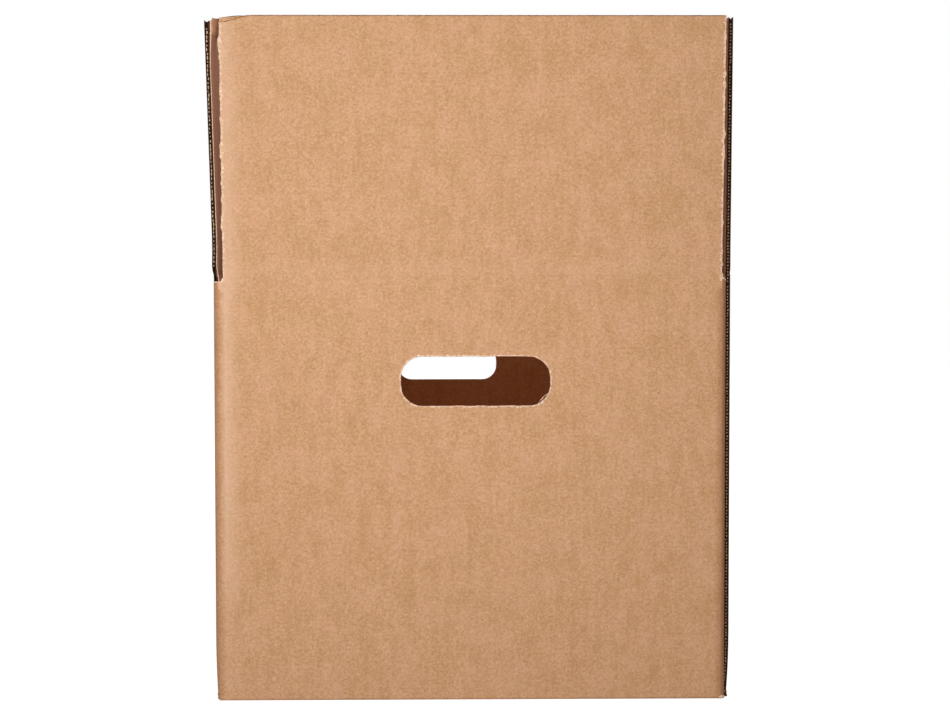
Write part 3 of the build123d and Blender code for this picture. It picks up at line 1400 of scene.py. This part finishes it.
    def wear_and_light(self, along: Array, up: Array) -> Array:
        """Wear and painted light on the outer liner: worn pale at the left slot, a painted highlight above
        the fold line, darker at the top cut.

        Args:
            along: places across the sheet.
            up: places up the sheet.

        Returns:
            Values up to 1 for pale and down to -1 for dark.
        """
        crease = self.crease_highlight.at(up)
        if self.side is not Side.FRONT:
            return crease
        cut = self.top_darkening * smooth(1 - (self.length - up) / self.cut_height)
        return crease - cut + self.slot_rub * smooth(1 - (self.last - along) / self.pale_strip_width)

    def liners(self) -> Piece:
        """Outer and inner liner of the flap.

        Returns:
            The piece.
        """
        made = PaperMesh(f"{self.body}_liners")
        along, up = self.grid(self.step)
        place = np.stack([along, self.score + up], -1)
        press = self.groove.at(up) - self.ridge.at(up)
        first = along - self.edge(up, False)
        last = self.edge(up, True) - along
        deep = smooth(np.minimum(first, last) / self.score_end) if self.raw_last else 1.0
        inner = BOARD.thickness - self.score_depth * self.furrow.at(up) * deep
        # The raw edges' sides take the medium's dark paint as painted shade.
        rim = Paper.MEDIUM if self.raw_first or self.raw_last else Paper.TORN
        low = self.crush(along, up, True)
        made.layer(
            self.place(along, low, press),
            self.place(along, low, press + BOARD.liner),
            place,
            Paper.LINER,
            Paper.MEDIUM,
            self.wear_and_light(along, up),
            rim,
        )
        low = self.crush(along, up, False)
        # Painted shade on the inner face towards its front edge, and on the left flap's knocked corner, which
        # faces the light.
        inner_shade = self.inner_shade * smooth(1 - (last if self.raw_last else first) / self.inner_shade_width)
        if self.side is Side.LEFT:
            inner_shade = inner_shade - self.knock_shade * self.knock(along, up)
        made.layer(
            self.place(along, low, inner),
            self.place(along, low, inner - BOARD.liner),
            place,
            Paper.INNER,
            Paper.MEDIUM,
            inner_shade,
            rim,
        )
        return made.make()

    def flutes(self) -> Piece:
        """The wavy medium of the flap, squashed flat at the fold.

        Returns:
            The piece.
        """
        made = PaperMesh(f"{self.body}_flutes")
        along, up = self.grid(BOARD.wave_step)
        # It has fewer rows than the liners: every fourth at the fold, some above it and the last three.
        # The left flap's keeps all those above the fold, to follow its liners at the knocked corner.
        stride = 1 if self.side is Side.LEFT else 6
        count = up.shape[0]
        upper = np.arange(self.fold_rows, count - 3, stride)
        rows = np.unique(np.concatenate([np.arange(0, self.fold_rows, 4), upper, count - np.arange(1, 4)]))
        up = up[rows]
        along = np.clip(along[rows], self.edge(up, False) + self.recess, self.edge(up, True) - self.recess)
        press = self.furrow.at(up)
        gap = np.minimum(along - self.edge(up, False), self.edge(up, True) - along)
        hold = smooth(1 - gap / self.held_width)
        if self.side is Side.FRONT:
            beside = smooth(2 - (self.edge(up, True) - along) / self.crush_width)
            hold = np.maximum(hold, beside * smooth(2 - (self.length - up) / self.crush_height))
        depth = BOARD.wave(along, (1 - self.flute_press * press) * (1 - hold))
        depth = depth - self.flute_lift * press + self.held_depth * hold
        half = BOARD.medium / 2
        place = np.stack([along, self.score + up], -1)
        low = self.crush(along, up, False)
        near = self.place(along, low, depth - half)
        made.layer(near, self.place(along, low, depth + half), place, Paper.MEDIUM)
        return made.make()

    def cut_edges(self) -> Piece:
        """Frayed paper along the flap's sides and top.

        Returns:
            The piece.
        """
        made = PaperMesh(f"{self.body}_cut_edges")
        seed = 100 * list(Side).index(self.side) + 500
        low = self.sizes.slot_floor - self.score
        up = np.concatenate([np.linspace(low, low + self.sizes.slot_radius, 13), [self.length]])
        slot = Fray(back=1.5, out=0.45, tooth_share=0.3, burr=0.14, wander=0.9)
        inner_lip = Fray(back=0.5, out=0.25, burr=0.06)
        top = Fray(back=0.35, out=0.15, burr=0.04, spacing=0.7)
        for last, raw in ((False, self.raw_first), (True, self.raw_last)):
            off = 1 if last else -1
            # The left flap's raw edge has a lip inside, and the right flap's has none.
            lips = [outer for outer in (True, False) if not raw or not (outer or last)]
            for outer in lips:
                ends = up.copy()
                if self.side is Side.FRONT and last:
                    ends[-1] -= self.crush_outer if outer else self.crush_inner
                if raw:
                    ends[-1] -= self.side_crush
                style = slot if outer else inner_lip
                style.trim(made, self.place, self.edge(ends, last), ends, off, outer, seed)
                seed += 10
            if not raw:
                continue
            edge = float(self.edge(np.array(self.length), last))
            if last:
                tufts, depth, start = Tufts(), BOARD.thickness / 2, -self.sizes.crease_reach
            else:
                tufts = Tufts(pitch=2.5, width=0.62, height=1.7, uneven=0.6, paper=Paper.TORN)
                depth, start = self.left_tuft_depth, self.left_tuft_start
            tufts.add(made, self.place, edge, (start, self.length - self.tuft_drop), depth, off, seed)
        across = spaced(self.first, float(self.edge(np.array(self.length), True)), 1.0)
        for outer in (True, False):
            edge = self.crush(across, np.full(across.shape, self.length), outer)
            top.trim(made, self.place, across, edge, -1, outer, seed, Paper.MEDIUM)
            seed += 10
        if self.side is Side.FRONT:
            self.torn_ply(made, seed)
        if self.side is Side.LEFT:
            self.loose_ply(made, seed)
        return made.make()

    def torn_ply(self, made: PaperMesh, seed: int) -> None:
        """Add the split paper that shows above the crushed corner's outer liner.

        Args:
            made: piece that gets the paper.
            seed: start of the random numbers.
        """
        step = 0.6
        gap = spaced(0, 1.3 * self.crush_width, step)[::-1]
        # Its rows are the root, one just below the torn edge, and the torn edge.
        high = self.length - 0.35 - 0.25 * (1 + ragged(len(gap), step, 2.0, seed))
        up = np.stack([np.full(len(gap), self.length - 9.0), high - 1.2, high])
        along = self.edge(up, True) - gap[None, :]
        up = self.crush(along, up, False)
        depth = np.array([0.75, 0.6, 0.5])[:, None]
        grain = np.stack([along, self.score + up], -1)
        near = self.place(along, up, depth)
        far = self.place(along, up, depth + self.ply)
        made.layer(near, far, grain, Paper.LINER, Paper.MEDIUM)

    def loose_ply(self, made: PaperMesh, seed: int) -> None:
        """Add the strip of inner liner that has come loose and stands up behind the knocked front corner.

        Args:
            made: piece that gets the paper.
            seed: start of the random numbers.
        """
        step = 0.6
        end = 27.0
        gap = spaced(0.2, end, step)
        # The torn edge climbs away from the corner and drops to the cut at the strip's end.
        rise = 0.12 * np.minimum(gap, 18) * smooth((end - gap) / 6)
        high = self.length + rise + 0.35 * ragged(len(gap), step, 1.5, seed)
        root = np.full(len(gap), self.length - 10.0)
        up = np.stack([root, root + 2.0, high - 1.0, high])
        along = self.edge(up, False) + gap[None, :]
        # It leaves the inner face at its root and curls inwards.
        depth = np.array([3.03, 3.3, 3.4, 3.45])[:, None]
        grain = np.stack([along, self.score + up], -1)
        # Painted shade on the loose strip where the knocked corner faces the light.
        inner_shade = -self.knock_shade * self.knock(along, up)
        near = self.place(along, up, depth)
        far = self.place(along, up, depth - self.ply)
        made.layer(near, far, grain, Paper.LINER, Paper.MEDIUM, inner_shade)

    def build(self) -> list[Piece]:
        """Make the flap's pieces in place of the CAD flap, which is hidden.

        Returns:
            The pieces.
        """
        pieces = [self.liners(), self.flutes(), self.cut_edges()]
        middle = self.place(np.array((self.first + self.last) / 2), np.array(0.0), np.array(0.0)) * MM
        for piece in pieces:
            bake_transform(piece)
            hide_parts(self.body)
        return pieces


@dataclass
class FloorFlap:
    """A bottom flap, folded in and glued."""

    sizes: CartonSizes
    side: Side
    step: float = 12.0
    seam: float = 0.1  # between the outer flaps, which lie edge to edge

    def __post_init__(self) -> None:
        """Find the flap's wall, level and direction."""
        sizes = self.sizes
        self.major = self.side in (Side.LEFT, Side.RIGHT)
        self.wall = sizes.half_width if self.major else sizes.half_length
        self.level = 0.0 if self.major else BOARD.thickness
        x, y = {Side.FRONT: (0, 1), Side.BACK: (0, -1), Side.LEFT: (1, 0), Side.RIGHT: (-1, 0)}[self.side]
        self.inwards = np.array([x, y, 0.0])
        self.across = np.array([-y, x, 0.0])

    def place(self, along: Array, into: Array, depth: Array) -> Array:
        """Put points of the flap in place.

        Args:
            along: distance along the wall from its middle.
            into: distance from the wall's outer face.
            depth: above the lower face.

        Returns:
            Points with a last axis of x, y and z.
        """
        along, into, depth = np.broadcast_arrays(along, into, depth)
        flat = along[..., None] * self.across + (into - self.wall)[..., None] * self.inwards
        return flat + (self.level + depth)[..., None] * UPWARDS

    def build(self) -> list[Piece]:
        """Make the flap's layers.

        Returns:
            The piece.
        """
        sizes = self.sizes
        length = sizes.half_width - self.seam / 2 if self.major else sizes.minor_length
        reach = (sizes.half_length if self.major else sizes.half_width) - sizes.slot_inset
        start = sizes.ground_radius if self.major else BOARD.thickness
        made = PaperMesh(f"floor_{self.side.value}_flap")
        along = spaced(-reach, reach, self.step)[None, :]
        along, into = np.broadcast_arrays(along, spaced(start, length, self.step)[:, None])
        grain = np.stack([along, into], -1)
        thick = BOARD.thickness
        for near, far, paper in ((0.0, BOARD.liner, Paper.LINER), (thick, thick - BOARD.liner, Paper.INNER)):
            face = self.place(along, into, np.array(near))
            made.layer(face, self.place(along, into, np.array(far)), grain, paper)
        along = spaced(-reach, reach, BOARD.wave_step)[None, :]
        along, into = np.broadcast_arrays(along, np.array([start, length])[:, None])
        depth = BOARD.wave(along, np.ones_like(along))
        grain = np.stack([along, into], -1)
        half = BOARD.medium / 2
        lower = self.place(along, into, depth - half)
        made.layer(lower, self.place(along, into, depth + half), grain, Paper.MEDIUM)
        piece = made.make()
        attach(piece, "carton")
        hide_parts("carton_body")
        return [piece]


@dataclass(frozen=True)
class SoftBox:
    """A square soft light."""

    name: str
    place: tuple[float, float, float]
    size: float
    watts: float

    def hang(self, target: Vector) -> None:
        """Hang the light so that it faces a target and isn't seen by the camera.

        Args:
            target: point that it faces.
        """
        data = bpy.data.lights.new(self.name, "AREA")
        data.size = self.size
        data.energy = self.watts
        lamp = bpy.data.objects.new(self.name, data)
        lamp.visible_camera = False
        lamp.location = self.place
        lamp.rotation_euler = (target - Vector(self.place)).to_track_quat("-Z", "Y").to_euler()
        bpy.context.scene.collection.objects.link(lamp)


@dataclass
class Studio:
    """Floor, soft lights, white background and the camera of the photograph."""

    lens: float = 46.55
    centre_x: float = 399.5  # pixel that the camera looks at
    camera: tuple[float, float, float] = (-0.0481, -0.9302, 0.2248)
    yaw: float = 0.32
    pitch: float = -1.59
    roll: float = 0.15
    ambient: float = 0.33
    floor_reach: float = 6.0
    floor_colour: str = "#8c8c8c"
    floor_roughness: float = 0.9
    floor_glow: float = 0.92  # added where the floor is seen, so that it looks near white
    target: tuple[float, float, float] = (0.0, -0.19, 0.22)  # what the lights face
    lights: tuple[SoftBox, ...] = (
        SoftBox("key_softbox", (-0.115, -0.80, 0.34), 0.4, 3.2),
        SoftBox("left_fill_softbox", (-1.0, 0.95, 0.7), 0.8, 5.0),
        SoftBox("right_fill_softbox", (1.0, 0.95, 0.7), 0.8, 5.0),
    )

    def build(self) -> None:
        """Set up everything around the carton."""
        self.place_camera()
        self.place_floor()
        for light in self.lights:
            light.hang(Vector(self.target))
        self.dress_world()
        bpy.context.scene.view_settings.view_transform = "Standard"

    def place_camera(self) -> None:
        """Put the camera at the photograph's viewpoint."""
        data = bpy.data.cameras.new("camera")
        data.lens = self.lens
        data.shift_x = (IMAGE_WIDTH / 2 - self.centre_x) / IMAGE_WIDTH
        data.clip_start = 0.05
        eye = bpy.data.objects.new("camera", data)
        eye.location = self.camera
        eye.rotation_euler = (math.radians(90 + self.pitch), math.radians(self.roll), math.radians(-self.yaw))
        bpy.context.scene.collection.objects.link(eye)
        bpy.context.scene.camera = eye

    def place_floor(self) -> None:
        """Lay a pale floor that keeps the carton's shadow."""
        mesh = bpy.data.meshes.new("floor")
        far = self.floor_reach
        mesh.from_pydata([(-far, -far, 0), (far, -far, 0), (far, far, 0), (-far, far, 0)], [], [(0, 1, 2, 3)])
        floor = bpy.data.objects.new("floor", mesh)
        bpy.context.scene.collection.objects.link(floor)
        paint = bpy.data.materials.new("white_studio_floor")
        paint.use_nodes = True
        tree = paint.node_tree
        shader = tree.nodes["Principled BSDF"]
        shader.inputs["Base Color"].default_value = hex_colour(self.floor_colour)
        shader.inputs["Roughness"].default_value = self.floor_roughness
        dimmed = {0: self.seen(tree), 1: self.floor_glow}
        glow = add_node(tree, "ShaderNodeMath", {"operation": "MULTIPLY"}, dimmed)
        white = add_node(tree, "ShaderNodeEmission", {}, {"Strength": glow.outputs[0]})
        mix = add_node(tree, "ShaderNodeAddShader", {}, {0: shader.outputs[0], 1: white.outputs[0]})
        tree.links.new(mix.outputs[0], tree.nodes["Material Output"].inputs["Surface"])
        mesh.materials.append(paint)

    def seen(self, tree: Tree) -> Socket:
        """Tell what the camera sees, also mirrored or through glass, from what lights the carton.

        Args:
            tree: node tree of the floor's material or of the world.

        Returns:
            Socket that is 1 for what is seen and 0 for what gives light.
        """
        rays = add_node(tree, "ShaderNodeLightPath", {}, {}).outputs
        seen = rays["Is Camera Ray"]
        for kind in ("Is Glossy Ray", "Is Transmission Ray"):
            either = {0: seen, 1: rays[kind]}
            seen = add_node(tree, "ShaderNodeMath", {"operation": "MAXIMUM"}, either).outputs[0]
        return seen

    def dress_world(self) -> None:
        """Give even light from all round, and white where the camera sees past the carton."""
        world = bpy.data.worlds.new("studio")
        world.use_nodes = True
        bpy.context.scene.world = world
        tree = world.node_tree
        back = tree.nodes["Background"]
        back.inputs["Color"].default_value = (1.0, 1.0, 1.0, 1.0)
        light = {"Value": self.seen(tree), "To Min": self.ambient, "To Max": 1.0}
        strength = add_node(tree, "ShaderNodeMapRange", {}, light)
        tree.links.new(strength.outputs["Result"], back.inputs["Strength"])


def main() -> None:
    """Build the carton and its studio."""
    PAPERS[Paper.LINER] = KraftLiner().material()
    PAPERS[Paper.INNER] = INNER_LINER.material()
    PAPERS[Paper.MEDIUM] = FLUTING.material()
    PAPERS[Paper.TORN] = TORN_FIBRE.material()
    sizes = CartonSizes.from_frame()
    walls = Walls(sizes)
    pieces = walls.build()
    for side in Side:
        pieces += Flap(sizes, walls.path, side).build()
        pieces += FloorFlap(sizes, side).build()
    Studio().build()
    log.info("%d pieces", len(pieces))


if __name__ == "__main__":
    main()
